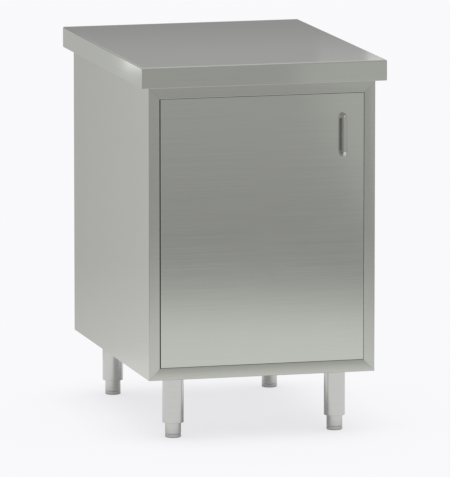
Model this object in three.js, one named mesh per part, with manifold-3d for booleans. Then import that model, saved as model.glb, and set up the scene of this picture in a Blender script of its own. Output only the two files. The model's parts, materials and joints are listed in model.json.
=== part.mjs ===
// A free-standing stainless steel cabinet for a condiment station: a folded worktop, a sheet-metal
// body with one hinged door and a shelf inside, and four tube legs with adjustable feet.
// Millimetres, +Z up. The origin is on the floor, under the middle of the worktop. The door faces -Y.

import * as THREE from "three";
import { mergeVertices } from "three/addons/utils/BufferGeometryUtils.js";
import Module from "manifold-3d";

const wasm = await Module();
wasm.setup();

// Clearances
const FIT = 0.25; // between pieces that are seated, bonded or welded together
const MERGE_DISTANCE = 1e-4; // corners of triangles closer than this are one point
const MITRE_GAP = 0.15; // from a mitre's centre line to each of its two edges
const HOLE_PLAY = 0.4; // radial, round a screw, pin or bush
const FOOT_PLAY = 0.35; // radial, round the thread of a levelling foot

// Overall
const TOTAL_HEIGHT = 904;
const FLOOR_CLEARANCE = 151; // floor to the lower edge of the body
const SIDE_OVERHANG = 22;
const FRONT_OVERHANG = 23;
const REAR_OVERHANG = 20;

// Worktop
const WORKTOP_WIDTH = 600;
const WORKTOP_DEPTH = 800;
const WORKTOP_EDGE = 50; // height of the folded edge
const WORKTOP_SHEET = 1.5;
const WORKTOP_FOLD = 2.5; // inside radius where the top turns down into the edge
const WORKTOP_SEAT = 4; // reach of the lip under the edge over the body
const BOARD_THICKNESS = 18;
const BOARD_MARGIN = 3;
const STIFFENER_SHEET = 1.5;
const STIFFENER_FOOT = 28;
const STIFFENER_CROWN = 40;
const STIFFENER_MARGIN = 2; // from the lip
const BOLT_DIAMETER = 8;
const BOLT_HEAD_WIDTH = 14.4; // across the corners
const BOLT_HEAD_HEIGHT = 5.3;
const BOLT_INSET = 98; // from the body's side
const WELD_NUT_DIAMETER = 15;
const WELD_NUT_HEIGHT = 7;

// Body panels
const BODY_SHEET = 1.2;
const BACK_SHEET = 1;
const FOLD = 1.3; // inside radius of the folds
const FLANGE = 20; // hidden flanges of the side panels
const STILE_WIDTH = 27; // front frame, left and right of the door
const RAIL_WIDTH = 29; // front frame, above and below the door
const FRAME_DIP = 1.5; // how far the frame curves back towards the door
const REVEAL = 30; // from the frame's inner edge back to the door stop
const STOP_WIDTH = 16;
const TOP_RAIL_DEPTH = 42;
const TOP_RAIL_LIP = 12;
const BOTTOM_RETURN = 15;
const DECK_REAR_FLANGE = 20;

// Door
const DOOR_GAP = 2;
const DOOR_THICKNESS = 20;
const DOOR_SHEET = 1;
const DOOR_ROUND = 2;
const INNER_SKIN_FLANGE = 10;

// Door pivots
const PIVOT_INSET = 17; // from the door's left edge
const PIVOT_SETBACK = 9; // from the door's front face
const PIVOT_DIAMETER = 8;
const PIVOT_REACH = 14; // into the door's edge
const PIVOT_HEAD_DIAMETER = 12;
const PIVOT_HEAD_HEIGHT = 3;
const PIVOT_PLATE_LENGTH = 32;
const PIVOT_PLATE_WIDTH = 14;
const PIVOT_PLATE_THICKNESS = 3;
const BUSH_WALL = 2;
const BUSH_FLANGE_WIDTH = 1.8;

// Handle
const HANDLE_CENTRES = 96;
const HANDLE_DIAMETER = 10;
const HANDLE_STANDOFF = 19; // door face to the middle of the grip
const HANDLE_BEND = 12; // radius along the middle of the rod
const HANDLE_INSET = 51; // from the door's right edge
const HANDLE_DROP = 50; // from the door's top edge to the upper foot
const HANDLE_SCREW_DIAMETER = 5;
const HANDLE_SCREW_REACH = 11;
const HANDLE_SCREW_HEAD_DIAMETER = 9.5;
const HANDLE_SCREW_HEAD_HEIGHT = 3.5;

// Door catch and bumpers
const STRIKE_THICKNESS = 1.5;
const CATCH_WIDTH = 10;
const CATCH_LENGTH = 46;
const CATCH_DROP = 130; // from the opening's top edge
const CATCH_GROOVE = 2;
const BUMPER_DIAMETER = 9;
const BUMPER_INSET = 60; // from the opening's top and bottom edges

// Shelf and its supports
const SHELF_SHEET = 1;
const SHELF_EDGE = 25;
const SHELF_ROUND = 1.5;
const SHELF_SIDE_PLAY = 3;
const SHELF_FRONT_GAP = 35; // behind the door stop
const SHELF_REAR_GAP = 12;
const SHELF_SLOT = 6; // which slot of the uprights holds the shelf
const UPRIGHT_SHEET = 1.2;
const UPRIGHT_WIDTH = 22;
const UPRIGHT_DEPTH = 10;
const UPRIGHT_INSET = 70; // from the door stop and from the back panel
const UPRIGHT_END_GAP = 15;
const SLOT_PITCH = 50;
const SLOT_HEIGHT = 4;
const SLOT_WIDTH = 13;
const CLIP_THICKNESS = 2.5;
const CLIP_DROP = 20;
const CLIP_LEDGE = 16;
const CLIP_TONGUE = 5;

// Legs and feet
const LEG_DIAMETER = 50.8;
const LEG_WALL = 1.5;
const LEG_SIDE_INSET = 78; // from the body's side to the middle of the leg
const LEG_END_INSET = 100; // from the worktop's front or back to the middle of the leg
const LEG_PLATE_SIZE = 90;
const LEG_PLATE_THICKNESS = 4;
const SPIGOT_LENGTH = 28;
const SPIGOT_WALL = 3;
const BEARER_SHEET = 2;
const BEARER_DEPTH = 22;
const BEARER_MARGIN = 6; // beyond the leg plate on each side
const BEARER_END_GAP = 4;
const FOOT_DIAMETER = 38;
const FOOT_SHOWN = 36; // between the floor and the end of the leg tube
const FOOT_WALL = 4;
const FOOT_BASE = 7;
const FOOT_EDGE = 2; // bevel round the sole
const FOOT_RING_HEIGHT = 8; // floor to the groove above the base ring
const FOOT_RING_GROOVE = 1.2;
const FOOT_ENGAGED = 56; // length of the foot inside the leg
const COLLAR_LENGTH = 28;

// Facets of round pieces
const HEXAGON = 6;
const LEG_FACETS = 24;
const SMALL_FACETS = 12;
const FOLD_STEPS = 3;
const FRAME_STEPS = 5;
const BEND_STEPS = 6;

// Places worked out from the sizes
const worktopHalf = WORKTOP_WIDTH / 2;
const worktopFront = -WORKTOP_DEPTH / 2;
const worktopRear = WORKTOP_DEPTH / 2;
const worktopUnder = TOTAL_HEIGHT - WORKTOP_EDGE;
const bodyHalf = worktopHalf - SIDE_OVERHANG;
const bodyFront = worktopFront + FRONT_OVERHANG;
const bodyRear = worktopRear - REAR_OVERHANG;
const bodyTop = worktopUnder - FIT;
const bodyBottom = FLOOR_CLEARANCE;
const foldOutside = FOLD + BODY_SHEET;
const innerHalf = bodyHalf - BODY_SHEET - FIT;
const backPanelFront = bodyRear - BODY_SHEET - FIT - BACK_SHEET;
const innerRear = backPanelFront - FIT;

const openingHalf = bodyHalf - STILE_WIDTH;
const openingBottom = bodyBottom + RAIL_WIDTH;
const openingTop = bodyTop - RAIL_WIDTH;
const doorFront = bodyFront + FRAME_DIP;
const doorBack = doorFront + DOOR_THICKNESS;
const stopFront = doorFront + REVEAL;
const doorHalf = openingHalf - DOOR_GAP;
const doorBottom = openingBottom + DOOR_GAP;
const doorTop = openingTop - DOOR_GAP;
const pivotX = -doorHalf + PIVOT_INSET;
const pivotY = doorFront + PIVOT_SETBACK;
const handleX = doorHalf - HANDLE_INSET;
const handleTop = doorTop - HANDLE_DROP;
const catchX = (openingHalf - STOP_WIDTH + doorHalf - DOOR_SHEET) / 2;

const deckUnder = openingBottom - BODY_SHEET;
const bearerTop = deckUnder - FIT;
const bearerUnder = bearerTop - BEARER_DEPTH;
const legPlateTop = bearerUnder - FIT;
const legPlateUnder = legPlateTop - LEG_PLATE_THICKNESS;
const legTop = legPlateUnder - FIT;
const legBore = LEG_DIAMETER / 2 - LEG_WALL;

const FINISHES = {
  sheetSteel: { color: 0xa5a6a1, roughness: 0.4, metalness: 1 },
  tubeSteel: { color: 0xb9bab6, roughness: 0.28, metalness: 1 },
  zincSteel: { color: 0x9fa3a6, roughness: 0.5, metalness: 1 },
  board: { color: 0xb59a72, roughness: 0.9, metalness: 0 },
  honeycomb: { color: 0xa88b62, roughness: 0.95, metalness: 0 },
  nylon: { color: 0xe4e2d8, roughness: 0.5, metalness: 0 },
  catchPlastic: { color: 0xd9d9d4, roughness: 0.45, metalness: 0 },
  rubber: { color: 0x3c3d3d, roughness: 0.85, metalness: 0 },
};

const group = new THREE.Group();

function add(parent, name, geometry, finish) {
  const material = new THREE.MeshStandardMaterial({ ...FINISHES[finish], flatShading: true });
  const mesh = new THREE.Mesh(geometry, material);
  mesh.name = name;
  parent.add(mesh);
  return mesh;
}

// Geometry helpers

// Merges shared corners, drops collapsed triangles and turns the faces outwards.
function closed(geometry) {
  const bare = new THREE.BufferGeometry();
  bare.setAttribute("position", geometry.getAttribute("position"));
  bare.setIndex(geometry.getIndex());
  const merged = mergeVertices(bare, MERGE_DISTANCE);
  const points = merged.getAttribute("position");
  const index = merged.getIndex().array;
  const corners = [new THREE.Vector3(), new THREE.Vector3(), new THREE.Vector3()];
  const triangles = [];
  let volume = 0;
  for (let i = 0; i < index.length; i += 3) {
    const [a, b, c] = index.slice(i, i + 3);
    if (a === b || b === c || c === a) continue;
    triangles.push([a, b, c]);
    [a, b, c].forEach((vertex, k) => corners[k].fromBufferAttribute(points, vertex));
    volume += corners[0].dot(corners[1].cross(corners[2]));
  }
  merged.setIndex(triangles.flatMap(([a, b, c]) => (volume < 0 ? [a, c, b] : [a, b, c])));
  return merged;
}

function meshOf(points, triangles) {
  const geometry = new THREE.BufferGeometry();
  geometry.setFromPoints(points);
  geometry.setIndex(triangles.flat());
  return closed(geometry);
}

function box(low, high) {
  const size = high.map((value, k) => value - low[k]);
  const middle = high.map((value, k) => (value + low[k]) / 2);
  return closed(new THREE.BoxGeometry(...size).translate(...middle));
}

// Turns a profile of [radius, height] points about the Z axis.
function turned(profile, facets) {
  const points = profile.map(([radius, height]) => new THREE.Vector2(radius, height));
  return closed(new THREE.LatheGeometry(points, facets).rotateX(Math.PI / 2));
}

function cylinder(radius, low, high, facets = SMALL_FACETS) {
  return turned([[0, low], [radius, low], [radius, high], [0, high]], facets);
}

function ring(inner, outer, low, high, facets) {
  return turned([[inner, low], [outer, low], [outer, high], [inner, high], [inner, low]], facets);
}

function solidOf(geometry) {
  return new wasm.Manifold(new wasm.Mesh({
    numProp: 3,
    vertProperties: new Float32Array(geometry.getAttribute("position").array),
    triVerts: new Uint32Array(geometry.getIndex().array),
  }));
}

function geometryOf(solid) {
  const { vertProperties, triVerts } = solid.getMesh();
  const geometry = new THREE.BufferGeometry();
  geometry.setAttribute("position", new THREE.BufferAttribute(vertProperties, 3));
  geometry.setIndex(new THREE.BufferAttribute(triVerts, 1));
  return geometry;
}

function join(first, ...others) {
  return geometryOf(others.reduce((sum, other) => sum.add(solidOf(other)), solidOf(first)));
}

function cut(first, ...tools) {
  return geometryOf(tools.reduce((rest, tool) => rest.subtract(solidOf(tool)), solidOf(first)));
}

// Rounds the corners of an open path that have a radius as their third value.
function roundedPath(corners) {
  return corners.flatMap(([u, v, radius], i) => {
    const corner = new THREE.Vector2(u, v);
    if (!radius) return [corner];
    const into = corner.clone().sub(new THREE.Vector2(...corners[i - 1])).normalize();
    const out = new THREE.Vector2(...corners[i + 1]).sub(corner).normalize();
    const turn = Math.atan2(into.cross(out), into.dot(out));
    const start = corner.clone().addScaledVector(into, -radius * Math.tan(Math.abs(turn) / 2));
    const across = new THREE.Vector2(-into.y, into.x).multiplyScalar(Math.sign(turn));
    const centre = start.clone().addScaledVector(across, radius);
    return Array.from({ length: FOLD_STEPS + 1 }, (_, k) =>
      start.clone().rotateAround(centre, (turn * k) / FOLD_STEPS));
  });
}

// The other face of a folded sheet: each point of the path moved across by the thickness,
// to the right of the path's direction, and mitred at the folds.
function acrossSheet(path, thickness) {
  return path.map((point, i) => {
    const before = point.clone().sub(path[Math.max(i - 1, 0)]);
    const after = path[Math.min(i + 1, path.length - 1)].clone().sub(point);
    const first = (i > 0 ? before : after).clone().normalize();
    const second = (i < path.length - 1 ? after : before).clone().normalize();
    const sum = new THREE.Vector2(first.y + second.y, -first.x - second.x);
    return point.clone().addScaledVector(sum, thickness / (1 + first.dot(second)));
  });
}

// A sheet folded along a path and carried from low(u, v) to high(u, v) along the third direction.
// place(u, v, w) puts a point of the path in space.
function foldedSheet(corners, thickness, place, low, high) {
  const outside = roundedPath(corners);
  const outline = [...outside, ...acrossSheet(outside, thickness).reverse()];
  const last = outline.length - 1;
  const points = outline.flatMap(({ x, y }) => [place(x, y, low(x, y)), place(x, y, high(x, y))]);
  const triangles = [];
  for (let i = 0; i <= last; i += 1) {
    const next = i === last ? 0 : i + 1;
    triangles.push([2 * i, 2 * next, 2 * next + 1], [2 * i, 2 * next + 1, 2 * i + 1]);
  }
  for (let i = 0; i < outside.length - 1; i += 1) {
    const [a, b, c, d] = [i, i + 1, last - i - 1, last - i];
    triangles.push([2 * a, 2 * c, 2 * b], [2 * a, 2 * d, 2 * c]);
    triangles.push([2 * a + 1, 2 * b + 1, 2 * c + 1], [2 * a + 1, 2 * c + 1, 2 * d + 1]);
  }
  return meshOf(points, triangles);
}

// Skins a row of rings that have the same number of points, and closes both ends.
function lofted(rings) {
  const count = rings[0].length;
  const triangles = [];
  for (let level = 0; level < rings.length - 1; level += 1) {
    for (let i = 0; i < count; i += 1) {
      const a = level * count + i;
      const b = level * count + ((i + 1) % count);
      triangles.push([a, b, b + count], [a, b + count, a + count]);
    }
  }
  const end = (rings.length - 1) * count;
  for (let i = 1; i < count - 1; i += 1) {
    triangles.push([0, i + 1, i], [end, end + i, end + i + 1]);
  }
  return meshOf(rings.flat(), triangles);
}

// Four corners of a rectangle in the plane of the first two directions, at a height in the third.
function rectangle(left, right, near, far, height, place) {
  return [[left, near], [right, near], [right, far], [left, far]].map(([u, v]) => place(u, v, height));
}

// A quarter circle as [inset, drop] steps, from a flat face round to the side next to it.
function quarterRound(radius) {
  return Array.from({ length: FOLD_STEPS + 1 }, (_, k) => {
    const angle = (Math.PI / 2) * (k / FOLD_STEPS);
    return [radius * (1 - Math.sin(angle)), radius * (1 - Math.cos(angle))];
  });
}

// Points of the front frame's curve, from its outer edge [0, 0] to its inner edge [width, dip].
function frameCurve(width) {
  const radius = (width * width + FRAME_DIP * FRAME_DIP) / (2 * FRAME_DIP);
  return Array.from({ length: FRAME_STEPS - 1 }, (_, k) => {
    const across = (width * (k + 1)) / FRAME_STEPS;
    return [across, radius - Math.sqrt(radius * radius - across * across)];
  });
}

const alongX = (u, v, w) => new THREE.Vector3(w, u, v);
const alongY = (u, v, w) => new THREE.Vector3(u, w, v);
const alongZ = (u, v, w) => new THREE.Vector3(u, v, w);
const upright = (geometry, x, y) => geometry.translate(x, y, 0);

// Worktop

function worktopSkin() {
  const level = (inset, height) => rectangle(-worktopHalf + inset, worktopHalf - inset,
    worktopFront + inset, worktopRear - inset, height, alongZ);
  const lip = (height) => rectangle(-bodyHalf + WORKTOP_SEAT, bodyHalf - WORKTOP_SEAT,
    bodyFront + WORKTOP_SEAT, bodyRear - WORKTOP_SEAT, height, alongZ);
  const outside = quarterRound(WORKTOP_FOLD + WORKTOP_SHEET)
    .map(([inset, drop]) => level(inset, TOTAL_HEIGHT - drop));
  const inside = quarterRound(WORKTOP_FOLD)
    .map(([inset, drop]) => level(WORKTOP_SHEET + inset, TOTAL_HEIGHT - WORKTOP_SHEET - drop));
  return lofted([
    ...outside,
    level(0, worktopUnder),
    lip(worktopUnder),
    lip(worktopUnder + WORKTOP_SHEET),
    level(WORKTOP_SHEET, worktopUnder + WORKTOP_SHEET),
    ...inside.reverse(),
  ]);
}

const boardTop = TOTAL_HEIGHT - WORKTOP_SHEET - FIT;
const boardUnder = boardTop - BOARD_THICKNESS;

function worktopCore() {
  const margin = WORKTOP_SHEET + BOARD_MARGIN;
  return box([-worktopHalf + margin, worktopFront + margin, boardUnder],
    [worktopHalf - margin, worktopRear - margin, boardTop]);
}

const boltX = bodyHalf - BOLT_INSET;
const stiffenerFootEnd = WORKTOP_SEAT + STIFFENER_MARGIN; // from the body's front or back
const boltSetback = stiffenerFootEnd + STIFFENER_FOOT / 2;

// An omega channel across the worktop, with a weld nut over each bolt hole. end is the body's front
// or back face, and inward points from there to the middle.
function worktopStiffener(end, inward) {
  const half = bodyHalf - WORKTOP_SEAT - STIFFENER_MARGIN;
  const low = worktopUnder;
  const high = boardUnder - FIT;
  const foot = STIFFENER_FOOT;
  const fold = FOLD + STIFFENER_SHEET;
  const corners = [
    [0, low + STIFFENER_SHEET], [foot, low + STIFFENER_SHEET, FOLD], [foot, high, fold],
    [foot + STIFFENER_CROWN, high, fold], [foot + STIFFENER_CROWN, low + STIFFENER_SHEET, FOLD],
    [2 * foot + STIFFENER_CROWN, low + STIFFENER_SHEET],
  ];
  const place = (u, v, w) => new THREE.Vector3(w, end + inward * (stiffenerFootEnd + u), v);
  const channel = foldedSheet(corners, STIFFENER_SHEET, place, () => -half, () => half);
  const boltY = end + inward * boltSetback;
  const nuts = [-boltX, boltX].map((x) => upright(cylinder(WELD_NUT_DIAMETER / 2,
    low + STIFFENER_SHEET / 2, low + STIFFENER_SHEET + WELD_NUT_HEIGHT), x, boltY));
  const holes = [-boltX, boltX].map((x) => upright(cylinder(BOLT_DIAMETER / 2 + HOLE_PLAY,
    low - FIT, low + STIFFENER_SHEET + WELD_NUT_HEIGHT + FIT), x, boltY));
  return cut(join(channel, ...nuts), ...holes);
}

function worktopBolt() {
  const headTop = bodyTop - BODY_SHEET - FIT;
  const tip = worktopUnder + STIFFENER_SHEET + WELD_NUT_HEIGHT + BOLT_DIAMETER / 4;
  const head = cylinder(BOLT_HEAD_WIDTH / 2, headTop - BOLT_HEAD_HEIGHT, headTop, HEXAGON);
  return join(head, cylinder(BOLT_DIAMETER / 2, headTop - BOLT_HEAD_HEIGHT / 2, tip));
}

function buildWorktop() {
  const worktop = new THREE.Group();
  add(worktop, "worktop_skin", worktopSkin(), "sheetSteel");
  add(worktop, "worktop_core", worktopCore(), "board");
  for (const [row, end, inward] of [["front", bodyFront, 1], ["rear", bodyRear, -1]]) {
    add(worktop, `worktop_stiffener_${row}`, worktopStiffener(end, inward), "zincSteel");
    for (const [side, sign] of [["left", -1], ["right", 1]]) {
      const bolt = add(worktop, `worktop_bolt_${row}_${side}`, worktopBolt(), "zincSteel");
      bolt.position.set(sign * boltX, end + inward * boltSetback, 0);
    }
  }
  return worktop;
}

// Body

// How far a mitred end of a side panel stands in from the body's lower or upper edge.
function stileMitre(u, v) {
  const across = bodyHalf - u;
  const isWall = across <= BODY_SHEET + FIT;
  const isRear = v > 0;
  const isReturn = v > doorFront + BODY_SHEET / 2;
  const cutBack = isRear ? BODY_SHEET : STILE_WIDTH;
  const distance = isReturn && !isWall ? cutBack : Math.min(Math.max(across, 0), cutBack);
  return MITRE_GAP + (distance * RAIL_WIDTH) / STILE_WIDTH;
}

// One folded sheet: rear flange, side, front stile, door reveal and door stop, with a flange at its
// top and bottom. sign is -1 for the left panel.
function sidePanel(sign) {
  const corners = [
    [bodyHalf - FLANGE, bodyRear],
    [bodyHalf, bodyRear, foldOutside],
    [bodyHalf, bodyFront, foldOutside],
    ...frameCurve(STILE_WIDTH).map(([across, dip]) => [bodyHalf - across, bodyFront + dip]),
    [openingHalf, doorFront, foldOutside],
    [openingHalf, stopFront, FOLD],
    [openingHalf - STOP_WIDTH, stopFront],
  ];
  const place = (u, v, w) => new THREE.Vector3(sign * u, v, w);
  const sheet = foldedSheet(corners, BODY_SHEET, place,
    (u, v) => bodyBottom + stileMitre(u, v), (u, v) => bodyTop - stileMitre(u, v));
  const across = [sign * (bodyHalf - FLANGE), sign * (bodyHalf - BODY_SHEET / 2)];
  const [left, right] = [Math.min(...across), Math.max(...across)];
  const topFlange = box([left, bodyFront + TOP_RAIL_DEPTH + FOLD, bodyTop - BODY_SHEET - MITRE_GAP],
    [right, innerRear - TOP_RAIL_DEPTH - FOLD, bodyTop - MITRE_GAP]);
  const bottomFlange = box([left, bodyFront + BOTTOM_RETURN + FOLD, bodyBottom + MITRE_GAP],
    [right, innerRear - FOLD, bodyBottom + MITRE_GAP + BODY_SHEET]);
  return join(sheet, topFlange, bottomFlange);
}

// Half the length of a front rail: mitred along its face, full between the side panels behind it.
const behindFrame = doorFront + foldOutside + 2 * BODY_SHEET;

function railHalf(v, across) {
  if (v >= behindFrame) return innerHalf;
  return bodyHalf - MITRE_GAP - (Math.min(Math.max(across, 0), RAIL_WIDTH) * STILE_WIDTH) / RAIL_WIDTH;
}

function pivotHole(low, high) {
  return upright(cylinder(PIVOT_DIAMETER / 2 + HOLE_PLAY, low, high), pivotX, pivotY);
}

// The deck, with the lower front rail folded down from it and a return under that.
function bottomPanel() {
  const corners = [
    [bodyFront + BOTTOM_RETURN, bodyBottom],
    [bodyFront, bodyBottom, foldOutside],
    ...frameCurve(RAIL_WIDTH).map(([across, dip]) => [bodyFront + dip, bodyBottom + across]),
    [doorFront, openingBottom, foldOutside],
    [behindFrame - FIT, openingBottom],
    [behindFrame, openingBottom],
    [innerRear, openingBottom, foldOutside],
    [innerRear, openingBottom - DECK_REAR_FLANGE],
  ];
  const half = (v, height) => railHalf(v, height - bodyBottom);
  const sheet = foldedSheet(corners, BODY_SHEET, alongX,
    (v, height) => -half(v, height), (v, height) => half(v, height));
  return cut(sheet, pivotHole(deckUnder - FIT, openingBottom + FIT));
}

// Door stop, upper reveal, upper front rail and the flange that carries the worktop.
function topFrontRail() {
  const corners = [
    [stopFront, openingTop - STOP_WIDTH],
    [stopFront, openingTop, FOLD],
    [stopFront - 2 * foldOutside, openingTop],
    [behindFrame, openingTop],
    [behindFrame - FIT, openingTop],
    [doorFront, openingTop, foldOutside],
    ...frameCurve(RAIL_WIDTH).map(([across, dip]) => [bodyFront + dip, bodyTop - across]).reverse(),
    [bodyFront, bodyTop, foldOutside],
    [bodyFront + TOP_RAIL_DEPTH, bodyTop, foldOutside],
    [bodyFront + TOP_RAIL_DEPTH, bodyTop - TOP_RAIL_LIP],
  ];
  const stopHalf = openingHalf - STOP_WIDTH - FIT;
  const isStop = (v, height) => height < openingTop + foldOutside && v > stopFront - foldOutside;
  const half = (v, height) => (isStop(v, height) ? stopHalf : railHalf(v, bodyTop - height));
  const sheet = foldedSheet(corners, BODY_SHEET, alongX,
    (v, height) => -half(v, height), (v, height) => half(v, height));
  const boltHoles = [-boltX, boltX].map((x) => upright(
    cylinder(BOLT_DIAMETER / 2 + HOLE_PLAY, bodyTop - BODY_SHEET - FIT, bodyTop + FIT),
    x, bodyFront + boltSetback));
  return cut(sheet, pivotHole(openingTop - FIT, openingTop + BODY_SHEET + FIT), ...boltHoles);
}

function topRearRail() {
  const corners = [
    [innerRear - TOP_RAIL_DEPTH, bodyTop - TOP_RAIL_LIP],
    [innerRear - TOP_RAIL_DEPTH, bodyTop, foldOutside],
    [innerRear, bodyTop, foldOutside],
    [innerRear, openingTop],
  ];
  const sheet = foldedSheet(corners, BODY_SHEET, alongX, () => -innerHalf, () => innerHalf);
  const boltHoles = [-boltX, boltX].map((x) => upright(
    cylinder(BOLT_DIAMETER / 2 + HOLE_PLAY, bodyTop - BODY_SHEET - FIT, bodyTop + FIT),
    x, bodyRear - boltSetback));
  return cut(sheet, ...boltHoles);
}

function backPanel() {
  const half = innerHalf - FOLD;
  return box([-half, backPanelFront, bodyBottom + BODY_SHEET],
    [half, backPanelFront + BACK_SHEET, bodyTop - BODY_SHEET]);
}

const bearerHalf = LEG_PLATE_SIZE / 2 + BEARER_MARGIN;

function legBearer() {
  const corners = [
    [bearerHalf, bearerTop],
    [bearerHalf, bearerUnder, FOLD + BEARER_SHEET],
    [-bearerHalf, bearerUnder, FOLD + BEARER_SHEET],
    [-bearerHalf, bearerTop],
  ];
  return foldedSheet(corners, BEARER_SHEET, alongY,
    () => stopFront + BEARER_END_GAP, () => innerRear - BODY_SHEET - BEARER_END_GAP);
}

function buildBody() {
  const body = new THREE.Group();
  add(body, "left_side_panel", sidePanel(-1), "sheetSteel");
  add(body, "right_side_panel", sidePanel(1), "sheetSteel");
  add(body, "bottom_panel", bottomPanel(), "sheetSteel");
  add(body, "top_front_rail", topFrontRail(), "sheetSteel");
  add(body, "top_rear_rail", topRearRail(), "sheetSteel");
  add(body, "back_panel", backPanel(), "sheetSteel");
  for (const [side, sign] of [["left", -1], ["right", 1]]) {
    const bearer = add(body, `leg_bearer_${side}`, legBearer(), "zincSteel");
    bearer.position.x = sign * (bodyHalf - LEG_SIDE_INSET);
  }
  return body;
}

// Shelf

const uprightLow = openingBottom + UPRIGHT_END_GAP;
const uprightHigh = openingTop - UPRIGHT_END_GAP;
const uprightFace = innerHalf - UPRIGHT_DEPTH;
const slotCount = Math.floor((uprightHigh - uprightLow) / SLOT_PITCH);
const slotHeight = (slot) => uprightLow + SLOT_PITCH * slot - SLOT_PITCH / 2;
const ledgeTop = slotHeight(SHELF_SLOT) - SLOT_HEIGHT / 2 + FIT + CLIP_THICKNESS;
const shelfUnder = ledgeTop + FIT;
const shelfTop = shelfUnder + SHELF_EDGE;

// A slotted channel on a side panel, in the plane y = 0. sign is -1 on the left.
function shelfUpright(sign) {
  const corners = [
    [-UPRIGHT_WIDTH / 2, innerHalf],
    [-UPRIGHT_WIDTH / 2, uprightFace, FOLD + UPRIGHT_SHEET],
    [UPRIGHT_WIDTH / 2, uprightFace, FOLD + UPRIGHT_SHEET],
    [UPRIGHT_WIDTH / 2, innerHalf],
  ].reverse();
  const place = (u, v, w) => new THREE.Vector3(sign * v, u, w);
  const channel = foldedSheet(corners, UPRIGHT_SHEET, place, () => uprightLow, () => uprightHigh);
  const reach = [sign * (uprightFace - FIT), sign * (uprightFace + UPRIGHT_SHEET + FIT)];
  const slots = Array.from({ length: slotCount }, (_, k) => slotHeight(k + 1)).map((height) =>
    box([Math.min(...reach), -SLOT_WIDTH / 2, height - SLOT_HEIGHT / 2],
      [Math.max(...reach), SLOT_WIDTH / 2, height + SLOT_HEIGHT / 2]));
  return cut(channel, ...slots);
}

// A hooked clip: a tongue through the slot, a plate on the upright's face and a ledge for the shelf.
function shelfClip(sign) {
  const face = uprightFace - FIT;
  const width = SLOT_WIDTH / 2 - HOLE_PLAY;
  const bar = (near, far, low, high) => {
    const [left, right] = [Math.min(sign * near, sign * far), Math.max(sign * near, sign * far)];
    return box([left, -width, low], [right, width, high]);
  };
  const ledgeLow = ledgeTop - CLIP_THICKNESS;
  return join(
    bar(face - CLIP_LEDGE, uprightFace + UPRIGHT_SHEET + CLIP_TONGUE, ledgeLow, ledgeTop),
    bar(face - CLIP_THICKNESS, face, ledgeTop - CLIP_DROP, ledgeTop),
  );
}

function shelf() {
  const half = uprightFace - SHELF_SIDE_PLAY;
  const front = stopFront + SHELF_FRONT_GAP;
  const rear = innerRear - SHELF_REAR_GAP;
  const level = (inset, height) =>
    rectangle(-half + inset, half - inset, front + inset, rear - inset, height, alongZ);
  const outside = quarterRound(SHELF_ROUND + SHELF_SHEET)
    .map(([inset, drop]) => level(inset, shelfTop - drop));
  const inside = quarterRound(SHELF_ROUND)
    .map(([inset, drop]) => level(SHELF_SHEET + inset, shelfTop - SHELF_SHEET - drop));
  return lofted([...outside, level(0, shelfUnder), level(SHELF_SHEET, shelfUnder), ...inside.reverse()]);
}

function buildShelf() {
  const set = new THREE.Group();
  add(set, "shelf", shelf(), "sheetSteel");
  const rows = [["front", stopFront + UPRIGHT_INSET], ["rear", innerRear - UPRIGHT_INSET]];
  for (const [row, y] of rows) {
    for (const [side, sign] of [["left", -1], ["right", 1]]) {
      add(set, `shelf_upright_${row}_${side}`, shelfUpright(sign), "sheetSteel").position.y = y;
      add(set, `shelf_clip_${row}_${side}`, shelfClip(sign), "zincSteel").position.y = y;
    }
  }
  return set;
}

// Door

const screwX = handleX;
const screwHeights = { upper: handleTop, lower: handleTop - HANDLE_CENTRES };
const bushRadius = PIVOT_DIAMETER / 2 + HOLE_PLAY + BUSH_WALL;
const coreMargin = 2 * DOOR_SHEET + 2 * FIT;
const innerSkinFront = doorBack - INNER_SKIN_FLANGE;

// A cylinder along Y through the door at a handle screw.
function acrossDoor(radius, front, back, height) {
  return cylinder(radius, -back, -front).rotateX(Math.PI / 2).translate(screwX, 0, height);
}

function bushPockets() {
  const radius = bushRadius + HOLE_PLAY;
  const spans = [[doorBottom - FIT, doorBottom + PIVOT_REACH + FIT],
    [doorTop - PIVOT_REACH - FIT, doorTop + FIT]];
  return spans.map(([low, high]) => upright(cylinder(radius, low, high), pivotX, pivotY));
}

function doorLevel(inset, y) {
  return rectangle(-doorHalf + inset, doorHalf - inset, doorBottom + inset, doorTop - inset, y, alongY);
}

function doorOuterSkin() {
  const front = quarterRound(DOOR_ROUND).map(([inset, drop]) => doorLevel(inset, doorFront + drop));
  const skin = lofted([...front, doorLevel(0, doorBack), doorLevel(DOOR_SHEET, doorBack),
    doorLevel(DOOR_SHEET, doorFront + DOOR_SHEET)]);
  const holes = Object.values(screwHeights).map((height) =>
    acrossDoor(HANDLE_SCREW_DIAMETER / 2 + HOLE_PLAY, doorFront - FIT, doorFront + DOOR_SHEET + FIT, height));
  return cut(skin, ...holes, ...bushPockets());
}

function doorInnerSkin() {
  const inset = DOOR_SHEET + FIT;
  const pan = lofted([doorLevel(inset, doorBack), doorLevel(inset, innerSkinFront),
    doorLevel(inset + DOOR_SHEET, innerSkinFront), doorLevel(inset + DOOR_SHEET, doorBack - DOOR_SHEET)]);
  return cut(pan, ...bushPockets());
}

function doorCore() {
  const front = doorFront + DOOR_SHEET + FIT;
  const core = box([-doorHalf + coreMargin, front, doorBottom + coreMargin],
    [doorHalf - coreMargin, doorBack - DOOR_SHEET - FIT, doorTop - coreMargin]);
  const pockets = Object.values(screwHeights).map((height) =>
    acrossDoor(HANDLE_SCREW_HEAD_DIAMETER / 2 + HOLE_PLAY, front - FIT,
      front + HANDLE_SCREW_HEAD_HEIGHT + FIT, height));
  return cut(core, ...pockets, ...bushPockets());
}

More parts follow.
